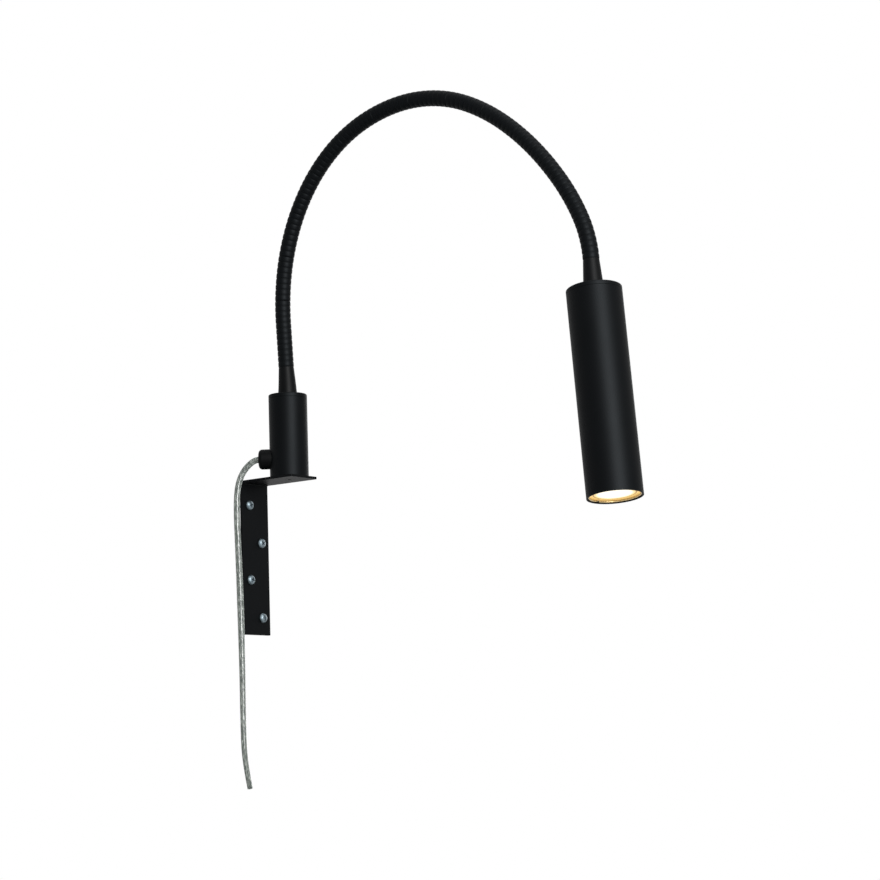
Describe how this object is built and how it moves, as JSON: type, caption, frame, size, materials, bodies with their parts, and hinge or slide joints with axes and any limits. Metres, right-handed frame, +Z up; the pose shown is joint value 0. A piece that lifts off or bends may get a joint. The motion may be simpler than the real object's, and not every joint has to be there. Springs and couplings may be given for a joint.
{
  "type": "wall lamp",
  "caption": "Reading lamp for a wall: a ribbed flexible arm rises from a short upright tube on a folded bracket and carries a tubular head that points down.",
  "frame": {"origin": "centre of the four wall screws, on the plane of the wall", "axes": "+Z up, +Y into the wall, the lamp stands out towards -Y, +X to the right of one who faces the wall"},
  "size_m": [0.0679, 0.4957, 0.6927],
  "materials": {
    "black_steel": "satin black powder coat",
    "black_aluminium": "satin black powder coat on aluminium",
    "cone_rubber": "soft black cones over the arm's ends",
    "neck_skin": "satin black coat on the ribbed flexible arm",
    "screw_steel": "zinc plated steel",
    "plain_brass": "plain turned brass",
    "foot_aluminium": "turned aluminium",
    "spring_steel": "darkened spring wire",
    "black_nylon": "moulded black nylon",
    "seal_rubber": "soft black seal",
    "clear_cord": "clear sheath over twisted tinned cores",
    "lead_sleeve": "insulated leads",
    "pale_block": "pale ceramic and moulded plastic",
    "lamp_glass": "lamp shell with a reflecting inside",
    "lamp_front": "lit front lens"
  },
  "bodies": {
    "base": {"wall_bracket": "black_steel", "wall_screws": "screw_steel", "base_tube": "black_steel", "base_foot": "foot_aluminium", "base_foot_screw": "black_steel", "base_top_cap": "black_steel", "gland_body": "black_nylon", "gland_nut": "black_nylon", "gland_seal": "seal_rubber", "gland_locknut": "black_nylon", "mains_cord": "clear_cord", "terminal_block": "pale_block", "terminal_screws": "plain_brass", "supply_leads": "lead_sleeve", "base_leads": "lead_sleeve", "lower_cone": "cone_rubber", "lower_nipple": "plain_brass", "lower_washer": "screw_steel", "lower_locknut": "plain_brass", "neck_piece_01": "neck_skin"},
    "arm_02": {"neck_piece_02": "neck_skin"},
    "arm_03": {"neck_piece_03": "neck_skin"},
    "arm_04": {"neck_piece_04": "neck_skin"},
    "arm_05": {"neck_piece_05": "neck_skin"},
    "arm_06": {"neck_piece_06": "neck_skin"},
    "arm_07": {"neck_piece_07": "neck_skin"},
    "arm_08": {"neck_piece_08": "neck_skin"},
    "arm_09": {"neck_piece_09": "neck_skin"},
    "arm_10": {"neck_piece_10": "neck_skin"},
    "arm_11": {"neck_piece_11": "neck_skin"},
    "arm_12": {"neck_piece_12": "neck_skin"},
    "arm_13": {"neck_piece_13": "neck_skin"},
    "head": {"neck_piece_14": "neck_skin", "upper_cone": "cone_rubber", "upper_nipple": "plain_brass", "upper_washer": "screw_steel", "upper_locknut": "plain_brass", "head_tube": "black_aluminium", "head_top_cap": "black_aluminium", "holder_strap": "screw_steel", "lampholder": "pale_block", "holder_screws": "screw_steel", "lamp_shell": "lamp_glass", "lamp_lens": "lamp_front", "lamp_pins": "screw_steel", "retaining_ring": "spring_steel", "head_leads": "lead_sleeve"}
  },
  "joints": [
    {"name": "arm_bend_01", "type": "hinge", "parent": "base", "child": "arm_02", "pos_m": [0, -0.04791, 0.24581], "axis": [1, 0, 0], "range_deg": [-9, 6]},
    {"name": "arm_bend_02", "type": "hinge", "parent": "arm_02", "child": "arm_03", "pos_m": [0, -0.04979, 0.2928], "axis": [1, 0, 0], "range_deg": [-9, 6]},
    {"name": "arm_side_03", "type": "hinge", "parent": "arm_03", "child": "arm_04", "pos_m": [0, -0.06136, 0.33835], "axis": [0, 0.9354, 0.3535], "range_deg": [-9, 9]},
    {"name": "arm_bend_04", "type": "hinge", "parent": "arm_04", "child": "arm_05", "pos_m": [0, -0.08338, 0.37985], "axis": [1, 0, 0], "range_deg": [-9, 6]},
    {"name": "arm_bend_05", "type": "hinge", "parent": "arm_05", "child": "arm_06", "pos_m": [0, -0.1156, 0.41398], "axis": [1, 0, 0], "range_deg": [-9, 6]},
    {"name": "arm_side_06", "type": "hinge", "parent": "arm_06", "child": "arm_07", "pos_m": [0, -0.15628, 0.43737], "axis": [0, 0.3633, 0.9317], "range_deg": [-9, 9]},
    {"name": "arm_bend_07", "type": "hinge", "parent": "arm_07", "child": "arm_08", "pos_m": [0.00143, -0.20177, 0.44901], "axis": [0.9981, 0.059, -0.0151], "range_deg": [-9, 6]},
    {"name": "arm_bend_08", "type": "hinge", "parent": "arm_08", "child": "arm_09", "pos_m": [0.00418, -0.2486, 0.44792], "axis": [0.9981, 0.059, -0.0151], "range_deg": [-9, 6]},
    {"name": "arm_side_09", "type": "hinge", "parent": "arm_09", "child": "arm_10", "pos_m": [0.00659, -0.29306, 0.43309], "axis": [0.0401, -0.4498, 0.8922], "range_deg": [-9, 9]},
    {"name": "arm_bend_10", "type": "hinge", "parent": "arm_10", "child": "arm_11", "pos_m": [0.00854, -0.33254, 0.40763], "axis": [0.9981, 0.059, -0.0151], "range_deg": [-9, 6]},
    {"name": "arm_bend_11", "type": "hinge", "parent": "arm_11", "child": "arm_12", "pos_m": [0.01007, -0.36673, 0.37535], "axis": [0.9981, 0.059, -0.0151], "range_deg": [-9, 6]},
    {"name": "arm_side_12", "type": "hinge", "parent": "arm_12", "child": "arm_13", "pos_m": [0.01122, -0.39567, 0.33826], "axis": [0.0574, -0.8284, 0.5572], "range_deg": [-9, 9]},
    {"name": "arm_bend_13", "type": "hinge", "parent": "arm_13", "child": "head", "pos_m": [0.0104, -0.41874, 0.29727], "axis": [0.997, 0.0265, -0.0728], "range_deg": [-9, 6]}
  ]
}
